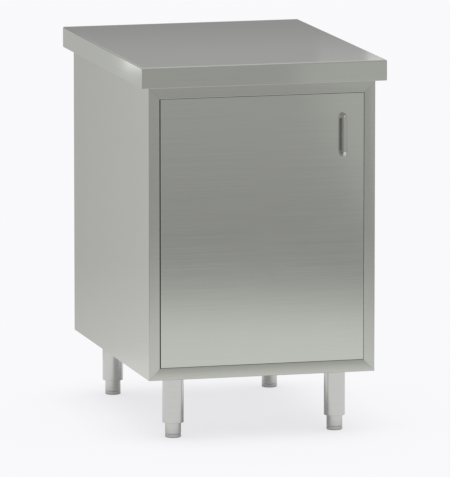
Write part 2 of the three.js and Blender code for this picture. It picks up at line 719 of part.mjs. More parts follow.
// A round rod bent into a bow. It starts at the upper foot, on the door, and is drilled at both ends.
function doorHandle() {
  const half = HANDLE_CENTRES / 2;
  const foot = doorFront - FIT;
  const grip = doorFront - HANDLE_STANDOFF;
  const stations = [[foot, half, 0]];
  for (const [sign, start] of [[1, 0], [-1, Math.PI / 2]]) {
    for (let k = 0; k <= BEND_STEPS; k += 1) {
      const angle = start + ((Math.PI / 2) * k) / BEND_STEPS;
      const y = grip + HANDLE_BEND * (1 - Math.sin(angle));
      const z = sign * (half - HANDLE_BEND) + HANDLE_BEND * Math.cos(angle);
      stations.push([y, z, angle]);
    }
  }
  stations.push([foot, -half, Math.PI]);
  const rings = stations.map(([y, z, angle]) => Array.from({ length: SMALL_FACETS }, (_, k) => {
    const turn = (2 * Math.PI * k) / SMALL_FACETS;
    const outward = (HANDLE_DIAMETER / 2) * Math.cos(turn);
    const sideways = (HANDLE_DIAMETER / 2) * Math.sin(turn);
    return new THREE.Vector3(sideways, y - outward * Math.sin(angle), z + outward * Math.cos(angle));
  }));
  const middle = handleTop - half;
  const rod = lofted(rings).translate(handleX, 0, middle);
  const holes = Object.values(screwHeights).map((height) =>
    acrossDoor(HANDLE_SCREW_DIAMETER / 2 + HOLE_PLAY, foot - HANDLE_SCREW_REACH - FIT, foot + FIT, height));
  return cut(rod, ...holes);
}

function handleScrew(height) {
  const seat = doorFront + DOOR_SHEET + FIT;
  const head = acrossDoor(HANDLE_SCREW_HEAD_DIAMETER / 2, seat, seat + HANDLE_SCREW_HEAD_HEIGHT, height);
  const shank = acrossDoor(HANDLE_SCREW_DIAMETER / 2, doorFront - HANDLE_SCREW_REACH,
    seat + HANDLE_SCREW_HEAD_HEIGHT / 2, height);
  return join(head, shank);
}

// Flanged bush in the door's edge. The flange fills the gap between edge and opening.
function pivotBush(edge, opening) {
  const into = Math.sign(edge - opening);
  const bore = PIVOT_DIAMETER / 2 + HOLE_PLAY;
  const face = opening + into * FIT;
  const seat = edge - into * FIT;
  const end = edge + into * PIVOT_REACH;
  const profile = [[bore, face], [bushRadius + BUSH_FLANGE_WIDTH, face],
    [bushRadius + BUSH_FLANGE_WIDTH, seat], [bushRadius, seat], [bushRadius, end], [bore, end], [bore, face]];
  return turned(profile, SMALL_FACETS);
}

// Plate behind the frame that holds a pivot pin. face is the sheet's hidden side.
function pivotPlate(face, away) {
  const near = face + away * FIT;
  const far = near + away * PIVOT_PLATE_THICKNESS;
  const [low, high] = [Math.min(near, far), Math.max(near, far)];
  const plate = box([-PIVOT_PLATE_LENGTH / 2, -PIVOT_PLATE_WIDTH / 2, low],
    [PIVOT_PLATE_LENGTH / 2, PIVOT_PLATE_WIDTH / 2, high]);
  return cut(plate, cylinder(PIVOT_DIAMETER / 2 + HOLE_PLAY, low - FIT, high + FIT));
}

function pivotPin(face, away, edge) {
  const seat = face + away * (2 * FIT + PIVOT_PLATE_THICKNESS);
  const end = seat + away * PIVOT_HEAD_HEIGHT;
  const tip = edge - away * (PIVOT_REACH - 2 * FIT);
  const profile = [[0, end], [PIVOT_HEAD_DIAMETER / 2, end], [PIVOT_HEAD_DIAMETER / 2, seat],
    [PIVOT_DIAMETER / 2, seat], [PIVOT_DIAMETER / 2, tip], [0, tip]];
  return turned(profile, SMALL_FACETS);
}

function buildDoor() {
  const door = new THREE.Group();
  add(door, "door_outer_skin", doorOuterSkin(), "sheetSteel");
  add(door, "door_inner_skin", doorInnerSkin(), "sheetSteel");
  add(door, "door_core", doorCore(), "honeycomb");
  add(door, "door_handle", doorHandle(), "tubeSteel");
  for (const [name, height] of Object.entries(screwHeights)) {
    add(door, `handle_screw_${name}`, handleScrew(height), "zincSteel");
  }
  return door;
}

function buildPivots() {
  const pivots = new THREE.Group();
  pivots.position.set(pivotX, pivotY, 0);
  const ends = [
    ["upper", doorTop, openingTop, openingTop + BODY_SHEET, 1],
    ["lower", doorBottom, openingBottom, deckUnder, -1],
  ];
  for (const [name, edge, opening, face, away] of ends) {
    add(pivots, `${name}_pivot_bush`, pivotBush(edge, opening), "nylon");
    add(pivots, `${name}_pivot_plate`, pivotPlate(face, away), "zincSteel");
    add(pivots, `${name}_pivot_pin`, pivotPin(face, away, edge), "zincSteel");
  }
  return pivots;
}

// Magnetic catch and bumpers on the right-hand door stop, strike plate on the door.
function buildCatch() {
  const set = new THREE.Group();
  const height = openingTop - CATCH_DROP;
  const half = CATCH_LENGTH / 2;
  const strikeBack = doorBack + FIT + STRIKE_THICKNESS;
  const housing = box([-CATCH_WIDTH / 2, strikeBack + FIT, -half], [CATCH_WIDTH / 2, stopFront - FIT, half]);
  const grooves = [-half / 2, half / 2].map((z) => box(
    [-CATCH_WIDTH, strikeBack, z - CATCH_GROOVE / 2],
    [CATCH_WIDTH, strikeBack + FIT + CATCH_GROOVE, z + CATCH_GROOVE / 2]));
  const strike = box([-CATCH_WIDTH / 2, doorBack + FIT, -half], [CATCH_WIDTH / 2, strikeBack, half]);
  add(set, "magnet_catch", cut(housing, ...grooves), "catchPlastic").position.set(catchX, 0, height);
  add(set, "strike_plate", strike, "zincSteel").position.set(catchX, 0, height);
  const bumperHeights = { upper: openingTop - BUMPER_INSET, lower: openingBottom + BUMPER_INSET };
  for (const [name, z] of Object.entries(bumperHeights)) {
    const bumper = cylinder(BUMPER_DIAMETER / 2, FIT - stopFront, -doorBack - FIT).rotateX(Math.PI / 2);
    add(set, `door_bumper_${name}`, bumper, "rubber").position.set(catchX, 0, z);
  }
  return set;
}

// Legs

// Mounting plate with a spigot inside the top of the leg tube.
function legSocket() {
  const half = LEG_PLATE_SIZE / 2;
  const plate = box([-half, -half, legPlateUnder], [half, half, legPlateTop]);
  const radius = legBore - FIT;
  const spigot = ring(radius - SPIGOT_WALL, radius, legPlateUnder - SPIGOT_LENGTH,
    legPlateUnder + LEG_PLATE_THICKNESS / 2, LEG_FACETS);
  return join(plate, spigot);
}

// Threaded collar pressed into the lower end of the leg tube.
function footCollar() {
  const inside = FOOT_DIAMETER / 2 + FOOT_PLAY;
  return ring(inside, legBore - FIT, FOOT_SHOWN, FOOT_SHOWN + COLLAR_LENGTH, LEG_FACETS);
}

// Hollow foot, open at the top inside the leg, with a bevelled sole and a groove above its base ring.
function levellingFoot() {
  const radius = FOOT_DIAMETER / 2;
  const top = FOOT_SHOWN + FOOT_ENGAGED;
  const groove = FOOT_RING_GROOVE;
  const profile = [
    [0, 0], [radius - FOOT_EDGE, 0], [radius, FOOT_EDGE],
    [radius, FOOT_RING_HEIGHT], [radius - groove, FOOT_RING_HEIGHT + groove / 2],
    [radius - groove, FOOT_RING_HEIGHT + groove], [radius, FOOT_RING_HEIGHT + 1.5 * groove],
    [radius, top], [radius - FOOT_WALL, top], [radius - FOOT_WALL, FOOT_BASE], [0, FOOT_BASE],
  ];
  return turned(profile, LEG_FACETS);
}

function buildLegs() {
  const legs = new THREE.Group();
  const rows = [["front", worktopFront + LEG_END_INSET], ["rear", worktopRear - LEG_END_INSET]];
  for (const [row, y] of rows) {
    for (const [side, sign] of [["left", -1], ["right", 1]]) {
      const leg = new THREE.Group();
      leg.position.set(sign * (bodyHalf - LEG_SIDE_INSET), y, 0);
      const tube = ring(legBore, LEG_DIAMETER / 2, FOOT_SHOWN, legTop, LEG_FACETS);
      add(leg, `leg_socket_${row}_${side}`, legSocket(), "zincSteel");
      add(leg, `leg_tube_${row}_${side}`, tube, "tubeSteel");
      add(leg, `foot_collar_${row}_${side}`, footCollar(), "nylon");
      add(leg, `levelling_foot_${row}_${side}`, levellingFoot(), "tubeSteel");
      legs.add(leg);
    }
  }
  return legs;
}

group.add(buildWorktop(), buildBody(), buildShelf(), buildDoor(), buildPivots(), buildCatch(), buildLegs());

export default group;
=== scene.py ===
"""Looks of a free-standing stainless steel cabinet: folded worktop, body with one door, tube legs.

Lengths are written in millimetres and become metres where a mesh is made. The door faces -Y.
"""

import json
import math

import bpy
import numpy as np
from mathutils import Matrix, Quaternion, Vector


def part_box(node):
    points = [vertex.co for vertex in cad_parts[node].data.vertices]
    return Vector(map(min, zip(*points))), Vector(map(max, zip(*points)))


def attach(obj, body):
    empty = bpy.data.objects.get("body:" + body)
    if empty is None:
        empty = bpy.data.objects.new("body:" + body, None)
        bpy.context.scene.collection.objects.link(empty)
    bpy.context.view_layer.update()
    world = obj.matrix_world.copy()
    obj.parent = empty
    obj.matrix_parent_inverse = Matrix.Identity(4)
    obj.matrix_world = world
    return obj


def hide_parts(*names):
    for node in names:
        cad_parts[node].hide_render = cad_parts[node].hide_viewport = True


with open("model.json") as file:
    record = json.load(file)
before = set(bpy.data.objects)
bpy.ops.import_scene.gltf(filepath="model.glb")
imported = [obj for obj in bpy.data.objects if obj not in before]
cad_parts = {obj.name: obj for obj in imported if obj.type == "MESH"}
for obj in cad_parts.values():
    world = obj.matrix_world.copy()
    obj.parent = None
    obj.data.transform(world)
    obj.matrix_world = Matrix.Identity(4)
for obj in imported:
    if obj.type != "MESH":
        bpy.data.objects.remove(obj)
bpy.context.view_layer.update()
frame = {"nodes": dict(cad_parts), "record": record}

MM = 0.001

# Sizes, the same as in the solids
FIT = 0.25
MITRE_GAP = 0.15
TOTAL_HEIGHT = 904
WORKTOP_HALF = 300
WORKTOP_DEEP = 400
WORKTOP_UNDER = 854
WORKTOP_SHEET = 1.5
WORKTOP_ROUND = 4
WORKTOP_SEAT = 4
BODY_HALF = 278
BODY_FRONT = -377
BODY_REAR = 380
BODY_BOTTOM = 151
BODY_TOP = 853.75
BODY_SHEET = 1.2
BACK_SHEET = 1
FOLD = 1.3
FLANGE = 20
STILE_WIDTH = 27
RAIL_WIDTH = 29
FRAME_DIP = 1.5
REVEAL = 30
STOP_WIDTH = 16
TOP_RAIL_DEPTH = 42
TOP_RAIL_LIP = 12
BOTTOM_RETURN = 15
DECK_REAR_FLANGE = 20
DOOR_GAP = 2
DOOR_THICKNESS = 20
DOOR_SHEET = 1
DOOR_PAN = 10
HANDLE_X = 198
HANDLE_HIGH = 772.75
HANDLE_LOW = 676.75
HANDLE_RADIUS = 5
HANDLE_STANDOFF = 19
HANDLE_BEND = 12
SHELF_SHEET = 1
SHELF_ROUND = 2.5
LEG_X = 200
LEG_Y = 300
LEG_RADIUS = 25.4
LEG_WALL = 1.5
LEG_TOP = 152.05
FOOT_RADIUS = 19
FOOT_SHOWN = 36
FOOT_TOP = 92
FOOT_WALL = 4
FOOT_BASE = 7
FOOT_RING_HEIGHT = 8
FOOT_RING_GROOVE = 1.2

# Sizes that differ from the solids, or that only the scene has
EDGE_FOLD = 1.5  # the frame's inner folds
DOOR_ROUND = 1
DOOR_CLOSER = 1.4  # the free edge, top and bottom stand this much nearer the frame
WORKTOP_HEM = 1.0
WORKTOP_CORNER = 1.6
SHELF_CORNER = 1.5
DOOR_CORNER = 1.2
LEG_EASE = 0.5
FOOT_EDGE = 2.0
FOOT_CENTRE = 0.5
GROOVE_RISE = 0.75  # half the groove's height, over its depth

# Where pieces meet
FOLD_OUT = FOLD + BODY_SHEET
INNER_REAR = BODY_REAR - BODY_SHEET - FIT - BACK_SHEET - FIT
INNER_HALF = BODY_HALF - BODY_SHEET - FIT
OPENING_HALF = BODY_HALF - STILE_WIDTH
OPENING_BOTTOM = BODY_BOTTOM + RAIL_WIDTH
OPENING_TOP = BODY_TOP - RAIL_WIDTH
DOOR_FRONT = BODY_FRONT + FRAME_DIP
DOOR_BACK = DOOR_FRONT + DOOR_THICKNESS
STOP_FRONT = DOOR_FRONT + REVEAL
DOOR_HALF = OPENING_HALF - DOOR_GAP
DOOR_BOTTOM = OPENING_BOTTOM + DOOR_GAP
DOOR_TOP = OPENING_TOP - DOOR_GAP
BEHIND_FRAME = DOOR_FRONT + FOLD_OUT + 2 * BODY_SHEET

# Finer than the solids, for smooth highlights
ARC_STEPS = 8
FRAME_STEPS = 14
CORNER_STEPS = 5
ROUND_STEPS = 96
REST = 0.4  # a flat stretch keeps flat shading up to this far from a fold
SMOOTH_BELOW = math.radians(35)
SHARPEST = 0.05  # radius left at a square corner


def linear(code):
    """sRGB hex to linear: c / 12.92 in the darks, else ((c + 0.055) / 1.055) to the power 2.4."""
    channel = np.array([int(code[i:i + 2], 16) for i in (1, 3, 5)]) / 255
    bright = ((channel + 0.055) / 1.055) ** 2.4
    return (*np.where(channel <= 0.04045, channel / 12.92, bright), 1.0)


def add_node(tree, kind, settings=None, links=None):
    """Adds one node, with its settings or input values, and links its inputs to outputs."""
    made = tree.nodes.new(kind)
    for key, value in (settings or {}).items():
        if isinstance(key, int) or key in made.inputs:
            made.inputs[key].default_value = value
        else:
            setattr(made, key, value)
    for key, source in (links or {}).items():
        tree.links.new(source, made.inputs[key])
    return made


def ramp(tree, value, start, end, first, last, kind="LINEAR"):
    """Goes from first to last while the value goes from start to end, and stays level beyond them."""
    settings = {"interpolation_type": kind, "From Min": start, "From Max": end,
                "To Min": first, "To Max": last}
    return add_node(tree, "ShaderNodeMapRange", settings, {"Value": value}).outputs["Result"]


def add_up(tree, one, other):
    return add_node(tree, "ShaderNodeMath", {"operation": "ADD"}, {0: one, 1: other}).outputs[0]


def blend(tree, share, one, other):
    """One value where the share is 0, the other where it is 1."""
    return add_node(tree, "ShaderNodeMix", None, {0: share, 2: one, 3: other}).outputs[0]


def two_tones(tree, share, dark, light):
    """The dark colour where the share is 0, the light one where it is 1."""
    settings = {"data_type": "RGBA", 6: linear(dark), 7: linear(light)}
    return add_node(tree, "ShaderNodeMix", settings, {0: share}).outputs[2]


def new_material(name, clear=False):
    """A material and its node tree, with the usual shader in it or cleared."""
    material = bpy.data.materials.new(name)
    material.use_nodes = True
    if clear:
        material.node_tree.nodes.clear()
    return material, material.node_tree


# Shapes

def grid_faces(rows, columns, wrap_rows=False):
    """Quads between neighbours of a grid whose columns close into a ring."""
    row = np.arange(rows if wrap_rows else rows - 1)[:, None]
    column = np.arange(columns)[None, :]
    below, beside = (row + 1) % rows, (column + 1) % columns
    here, there = row * columns, below * columns
    quads = [here + column, here + beside, there + beside, there + column]
    return np.stack(np.broadcast_arrays(*quads), axis=-1).reshape(-1, 4)


def shell(grid, wrap_rows=False):
    """Rows of rings skinned in order. The first and last ring are closed flat, unless the rows wrap."""
    rows, columns = grid.shape[:2]
    faces = [grid_faces(rows, columns, wrap_rows)]
    if not wrap_rows:
        ring = np.arange(columns)
        faces += [ring[None, ::-1], (ring + (rows - 1) * columns)[None, :]]
    return grid.reshape(-1, 3), faces


def rounded_rectangle(half_u, half_v, radius):
    """Ring of (u, v): four quarter circles of the radius about centres set in from the corners."""
    radius = max(radius, SHARPEST)
    angle = np.linspace(0, np.pi / 2, CORNER_STEPS + 1)
    turn = angle[None, :] + np.pi / 2 * np.arange(4)[:, None]
    sign_u = np.array([1, -1, -1, 1])[:, None]
    sign_v = np.array([1, 1, -1, -1])[:, None]
    u = sign_u * (half_u - radius) + radius * np.cos(turn)
    v = sign_v * (half_v - radius) + radius * np.sin(turn)
    return np.stack([u.ravel(), v.ravel()], axis=-1)


def tray(levels, corner, place):
    """Rings of rounded rectangles, one for each (half u, half v, height, corner inset), in order."""
    rings = [place(*rounded_rectangle(u, v, corner - inset).T, height) for u, v, height, inset in levels]
    return shell(np.stack(rings))


def quarter_round(radius):
    """Insets and drops of a quarter circle: radius (1 - sin a) and radius (1 - cos a), with a rest point."""
    angle = np.linspace(0, np.pi / 2, ARC_STEPS + 1)
    inset = np.append(radius + REST, radius * (1 - np.sin(angle)))
    drop = np.append(0, radius * (1 - np.cos(angle)))
    return np.stack([inset, drop], axis=-1)


def rounded_path(corners):
    """Open path of (u, v), each corner with a radius r replaced by an arc about a centre r beside it.

    The arc starts r tan(half the turn) before the corner, and a rest point lies outside each end of it.
    """
    points = np.array([corner[:2] for corner in corners], float)
    path = []
    for i, corner in enumerate(corners):
        if len(corner) < 3:
            path.append(points[i:i + 1])
            continue
        into = points[i] - points[i - 1]
        out = points[i + 1] - points[i]
        into, out = into / np.linalg.norm(into), out / np.linalg.norm(out)
        turn = math.atan2(into[0] * out[1] - into[1] * out[0], into @ out)
        reach = corner[2] * math.tan(abs(turn) / 2)
        start, end = points[i] - reach * into, points[i] + reach * out
        side = np.sign(turn) * np.array([-into[1], into[0]])
        angle = turn * np.linspace(0, 1, ARC_STEPS + 1)[:, None]
        spoke = -corner[2] * side
        arc = start - spoke + np.cos(angle) * spoke + np.sin(angle) * np.array([-spoke[1], spoke[0]])
        path += [(start - REST * into)[None], arc, (end + REST * out)[None]]
    return np.vstack(path)


def across_sheet(path, thickness):
    """The sheet's other face: points moved to the right of the path, along the bisector of their folds."""
    step = np.diff(path, axis=0)
    step = step / np.linalg.norm(step, axis=1, keepdims=True)
    before, after = np.vstack([step[:1], step]), np.vstack([step, step[-1:]])
    right = np.stack([(before + after)[:, 1], -(before + after)[:, 0]], axis=-1)
    return path + thickness * right / (1 + (before * after).sum(axis=1, keepdims=True))


def folded_sheet(corners, thickness, low, high, place):
    """A folded profile carried straight from low(u, v) to high(u, v), with a strip across each end."""
    outside = rounded_path(corners)
    loop = np.vstack([outside, across_sheet(outside, thickness)[::-1]])
    u, v = loop.T
    grid = np.stack([place(u, v, low(u, v)), place(u, v, high(u, v))])
    count, last = len(outside), len(loop) - 1
    i = np.arange(count - 1)
    strip = np.stack([i, i + 1, last - i - 1, last - i], axis=-1)
    faces = [grid_faces(2, len(loop)), strip[:, ::-1], strip + len(loop)]
    return grid.reshape(-1, 3), faces


def plate(low, high):
    """A thin flat plate between two corners, as one ring of four points at each of its two heights."""
    (left, near, under), (right, far, over) = low, high
    u = np.array([left, right, right, left])
    v = np.array([near, near, far, far])
    return shell(np.stack([along_z(u, v, np.full(4, under)), along_z(u, v, np.full(4, over))]))


def turned(profile, x, y, closed=False):
    """(radius, height) points turned about an upright axis at (x, y): r cos t, r sin t, z."""
    radius, height = np.array(profile, float).T
    turn = np.linspace(0, 2 * np.pi, ROUND_STEPS, endpoint=False)
    across = radius[:, None] * np.cos(turn)[None, :]
    along = radius[:, None] * np.sin(turn)[None, :]
    up = np.broadcast_to(height[:, None], across.shape)
    return shell(np.stack([x + across, y + along, up], axis=-1), wrap_rows=closed)


def rod(path, x, radius):
    """A round rod along a path of (y, z) in the plane x: circles square to the path's direction."""
    step = np.gradient(path, axis=0)
    step = step / np.linalg.norm(step, axis=1, keepdims=True)
    turn = np.linspace(0, 2 * np.pi, ROUND_STEPS // 2, endpoint=False)[None, :]
    aside = radius * np.sin(turn)
    across = x + np.broadcast_to(radius * np.cos(turn), (len(path), turn.size))
    y = path[:, :1] - step[:, 1:] * aside
    z = path[:, 1:] + step[:, :1] * aside
    return shell(np.stack([across, y, z], axis=-1))


def along_x(u, v, w):
    return np.stack([np.broadcast_to(w, np.shape(u)), u, v], axis=-1)


def along_y(u, v, w):
    return np.stack([u, np.broadcast_to(w, np.shape(u)), v], axis=-1)


def along_z(u, v, w):
    return np.stack([u, v, np.broadcast_to(w, np.shape(u))], axis=-1)


def volume(points, faces):
    """Six times the enclosed volume: corner . (next x next but one), summed over fans of all faces."""
    total = 0.0
    for group in faces:
        first = points[group[:, 0]]
        for k in range(1, group.shape[1] - 1):
            total += (first * np.cross(points[group[:, k]], points[group[:, k + 1]])).sum()
    return total


def lay_grain(mesh):
    """UV map in metres, u across the grain and v along it: along X, or along Y on faces square to X."""
    faces, corners = len(mesh.polygons), len(mesh.loops)
    normal, size, vertex = np.empty(faces * 3), np.empty(faces, int), np.empty(corners, int)
    place = np.empty(len(mesh.vertices) * 3)
    mesh.polygons.foreach_get("normal", normal)
    mesh.polygons.foreach_get("loop_total", size)
    mesh.loops.foreach_get("vertex_index", vertex)
    mesh.vertices.foreach_get("co", place)
    facing = np.abs(normal.reshape(-1, 3)).argmax(axis=1)
    grain = np.where(facing == 0, 1, 0)
    across = 3 - grain - facing
    points = place.reshape(-1, 3)[vertex]
    rows = np.arange(corners)
    uv = np.stack([points[rows, np.repeat(across, size)], points[rows, np.repeat(grain, size)]], axis=-1)
    mesh.uv_layers.new(name="grain").data.foreach_set("uv", uv.ravel())


def make_piece(name, parts, finish, body, stands_for):
    """Joins closed shells into one object at the origin, faces outwards, and hangs it on a body."""
    points, faces, start = [], [], 0
    for vertices, groups in parts:
        flip = -1 if volume(vertices, groups) < 0 else 1
        faces += [face for group in groups for face in (group[:, ::flip] + start).tolist()]
        points.append(vertices * MM)
        start += len(vertices)
    mesh = bpy.data.meshes.new(name)
    mesh.from_pydata(np.vstack(points).tolist(), [], faces)
    mesh.polygons.foreach_set("use_smooth", np.ones(len(mesh.polygons), bool))
    mesh.set_sharp_from_angle(angle=SMOOTH_BELOW)
    mesh.materials.append(finish)
    lay_grain(mesh)
    piece = bpy.data.objects.new(name, mesh)
    bpy.context.scene.collection.objects.link(piece)
    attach(piece, body)
    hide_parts(*stands_for)


# Finishes

GRAIN_WIDTH = 0.0022  # a brush line is a tenth of this, drawn coarser so that it shows
GRAIN_LENGTH = 0.30
SMUDGE_SIZE = 0.09
MOTTLE_GLOSS = 0.06


def brushed_stainless(name, light, dark, roughness, spread=0.02, drawn_out=0.0):
    """Austenitic stainless sheet, belt brushed: a soft sheen drawn out across fine straight lines.

    The lines follow the grain map, or lie level where the sheen isn't drawn out. They shift tone and
    gloss a little, and wiping leaves faint clouds in the gloss.
    """
    material, tree = new_material(name)
    shader = tree.nodes["Principled BSDF"]
    place = add_node(tree, "ShaderNodeTexCoord").outputs["Object"]
    if drawn_out:
        grain = add_node(tree, "ShaderNodeUVMap", {"uv_map": "grain"}).outputs["UV"]
        fine = (1 / GRAIN_WIDTH, 1 / GRAIN_LENGTH, 1)
        slant = add_node(tree, "ShaderNodeTangent", {"direction_type": "UV_MAP", "uv_map": "grain"})
        tree.links.new(slant.outputs["Tangent"], shader.inputs["Tangent"])
        shader.inputs["Anisotropic"].default_value = drawn_out
    else:
        grain = place
        fine = (1 / GRAIN_LENGTH, 1 / GRAIN_LENGTH, 1 / GRAIN_WIDTH)
    lines = add_node(tree, "ShaderNodeMapping", {"Scale": fine}, {"Vector": grain}).outputs["Vector"]
    brush = add_node(tree, "ShaderNodeTexNoise", {"Scale": 1.0, "Detail": 3.0, "Roughness": 0.6},
                     {"Vector": lines}).outputs["Fac"]
    cloud = add_node(tree, "ShaderNodeTexNoise", {"Scale": 1 / SMUDGE_SIZE, "Detail": 2.0},
                     {"Vector": place}).outputs["Fac"]
    wiped = add_node(tree, "ShaderNodeMath", {"operation": "MULTIPLY_ADD", 1: 0.5}, {0: cloud, 2: brush})
    gloss = ramp(tree, wiped.outputs[0], 0.45, 1.05, roughness - spread, roughness + spread)
    tree.links.new(two_tones(tree, brush, dark, light), shader.inputs["Base Color"])
    tree.links.new(gloss, shader.inputs["Roughness"])
    shader.inputs["Metallic"].default_value = 1.0
    return material


def mottled(name, light, dark, grit, roughness, metallic=0.0, dent=0.0):
    """A plain finish broken up by a soft mottle of the grit's size in metres, in tone and gloss."""
    material, tree = new_material(name)
    shader = tree.nodes["Principled BSDF"]
    place = add_node(tree, "ShaderNodeTexCoord").outputs["Object"]
    cloud = add_node(tree, "ShaderNodeTexNoise", {"Scale": 1 / grit, "Detail": 3.0},
                     {"Vector": place}).outputs["Fac"]
    gloss = ramp(tree, cloud, 0.3, 0.7, roughness - MOTTLE_GLOSS, roughness + MOTTLE_GLOSS)
    tree.links.new(two_tones(tree, cloud, dark, light), shader.inputs["Base Color"])
    tree.links.new(gloss, shader.inputs["Roughness"])
    if dent:
        relief = add_node(tree, "ShaderNodeBump", {"Strength": 0.4, "Distance": dent}, {"Height": cloud})
        tree.links.new(relief.outputs["Normal"], shader.inputs["Normal"])
    shader.inputs["Metallic"].default_value = metallic
    return material


steel = brushed_stainless("brushed_stainless_sheet", "#cccec7", "#c1c3bb", 0.17, drawn_out=0.3)
body_steel = brushed_stainless("coarse_brushed_stainless_sheet", "#cacbc4", "#bfc1b9", 0.22, drawn_out=0.5)
inside_steel = brushed_stainless("mill_stainless_sheet", "#dcdcda", "#d1d1cf", 0.52, spread=0.04)
tube = brushed_stainless("polished_stainless_tube", "#d1d1cd", "#c6c6c2", 0.16, drawn_out=0.5)
zinc = mottled("zinc_plated_steel", "#bcbdbc", "#aaabaa", 0.006, 0.45, metallic=1.0)
chipboard = mottled("raw_chipboard", "#b89c72", "#94774f", 0.003, 0.85, dent=0.0004)
paper = mottled("honeycomb_paper", "#ab8d63", "#957a54", 0.004, 0.9, dent=0.0003)
nylon = mottled("moulded_nylon", "#e6e4da", "#dcdacf", 0.002, 0.42, dent=0.00005)
catch_plastic = mottled("moulded_abs", "#dbdbd6", "#d0d0cb", 0.002, 0.4, dent=0.00005)
bush_nylon = mottled("filled_nylon", "#5d5f60", "#515354", 0.002, 0.5, dent=0.00005)
rubber = mottled("moulded_rubber", "#404141", "#343535", 0.0015, 0.8, dent=0.0001)

SLOT_FINISH = {
    "sheet_steel": inside_steel, "tube_steel": tube, "zinc_steel": zinc, "board": chipboard,
    "honeycomb": paper, "nylon": nylon, "catch_plastic": catch_plastic, "rubber": rubber,
}
for entry in frame["record"]["subparts"]:
    node = frame["nodes"][entry["node"]]
    node.data.materials.clear()
    finish = SLOT_FINISH[entry["material_slot"]]
    node.data.materials.append(bush_nylon if "pivot_bush" in entry["node"] else finish)


# Worktop

def worktop_shell():
    """One sheet folded down on all sides and in again under its edge: rounded rectangles at each level."""
    def level(inset, height):
        return WORKTOP_HALF - inset, WORKTOP_DEEP - inset, height, inset
    lip_u, lip_v = BODY_HALF - WORKTOP_SEAT, BODY_REAR - WORKTOP_SEAT
    outside = [level(inset, TOTAL_HEIGHT - drop) for inset, drop in quarter_round(WORKTOP_ROUND)]
    hem = [level(inset, WORKTOP_UNDER + drop) for inset, drop in quarter_round(WORKTOP_HEM)[::-1]]
    edge = [level(0, TOTAL_HEIGHT - WORKTOP_ROUND - REST), level(0, WORKTOP_UNDER + WORKTOP_HEM + REST)]
    inner_top = TOTAL_HEIGHT - WORKTOP_SHEET
    return tray(outside + edge + hem + [
        (lip_u, lip_v, WORKTOP_UNDER, WORKTOP_CORNER),
        (lip_u, lip_v, WORKTOP_UNDER + WORKTOP_SHEET, WORKTOP_CORNER),
        level(WORKTOP_SHEET, WORKTOP_UNDER + WORKTOP_SHEET), level(WORKTOP_SHEET, inner_top),
    ], WORKTOP_CORNER, along_z)


make_piece("worktop_shell", [worktop_shell()], steel, "cabinet", ["worktop_skin"])


# Body

def frame_curve(width):
    """Across and dip along a circle through the frame's outer edge, square to it there."""
    radius = (width ** 2 + FRAME_DIP ** 2) / (2 * FRAME_DIP)
    across = np.linspace(2 * FOLD_OUT, width - 2 * FOLD_OUT, FRAME_STEPS)
    return list(zip(across, radius - np.sqrt(radius ** 2 - across ** 2)))


def stile_mitre(u, v):
    """How far a side panel's end stands in: the distance from its outer edge, times rail over stile."""
    across = BODY_HALF - np.abs(u)
    cut_back = np.where(v > 0, BODY_SHEET, STILE_WIDTH)
    is_return = (v > DOOR_FRONT + BODY_SHEET / 2) & (across > BODY_SHEET + FIT)
    distance = np.where(is_return, cut_back, np.clip(across, 0, cut_back))
    return MITRE_GAP + distance * RAIL_WIDTH / STILE_WIDTH


def side_panel(sign):
    """Rear flange, side, curved stile, reveal and door stop folded from one sheet, with end flanges."""
    corners = [
        (BODY_HALF - FLANGE, BODY_REAR), (BODY_HALF, BODY_REAR, FOLD_OUT), (BODY_HALF, BODY_FRONT, FOLD_OUT),
        *[(BODY_HALF - across, BODY_FRONT + dip) for across, dip in frame_curve(STILE_WIDTH)],
        (OPENING_HALF, DOOR_FRONT, EDGE_FOLD), (OPENING_HALF, STOP_FRONT, FOLD),
        (OPENING_HALF - STOP_WIDTH, STOP_FRONT),
    ]
    sheet = folded_sheet(
        corners, BODY_SHEET, lambda u, v: BODY_BOTTOM + stile_mitre(u, v),
        lambda u, v: BODY_TOP - stile_mitre(u, v), lambda u, v, w: along_z(sign * u, v, w))
    left, right = sorted([sign * (BODY_HALF - FLANGE), sign * (BODY_HALF - BODY_SHEET / 2)])
    under = BODY_BOTTOM + MITRE_GAP
    foot = plate((left, BODY_FRONT + BOTTOM_RETURN + FOLD, under),
                 (right, INNER_REAR - FOLD, under + BODY_SHEET))
    over = BODY_TOP - MITRE_GAP
    head = plate((left, BODY_FRONT + TOP_RAIL_DEPTH + FOLD, over - BODY_SHEET),
                 (right, INNER_REAR - TOP_RAIL_DEPTH - FOLD, over))
    return [sheet, foot, head]


def rail_half(v, across):
    """Half a front rail's length: mitred along its face, full between the side panels behind it."""
    mitred = BODY_HALF - MITRE_GAP - np.clip(across, 0, RAIL_WIDTH) * STILE_WIDTH / RAIL_WIDTH
    return np.where(v >= BEHIND_FRAME, INNER_HALF, mitred)


def deck():
    """Return, lower rail, deck and rear flange folded from one sheet and carried across the body."""
    corners = [
        (BODY_FRONT + BOTTOM_RETURN, BODY_BOTTOM), (BODY_FRONT, BODY_BOTTOM, FOLD_OUT),
        *[(BODY_FRONT + dip, BODY_BOTTOM + across) for across, dip in frame_curve(RAIL_WIDTH)],
        (DOOR_FRONT, OPENING_BOTTOM, EDGE_FOLD), (BEHIND_FRAME - FIT, OPENING_BOTTOM),
        (BEHIND_FRAME, OPENING_BOTTOM), (INNER_REAR, OPENING_BOTTOM, FOLD_OUT),
        (INNER_REAR, OPENING_BOTTOM - DECK_REAR_FLANGE),
    ]
    return folded_sheet(corners, BODY_SHEET, lambda v, z: -rail_half(v, z - BODY_BOTTOM),
                        lambda v, z: rail_half(v, z - BODY_BOTTOM), along_x)


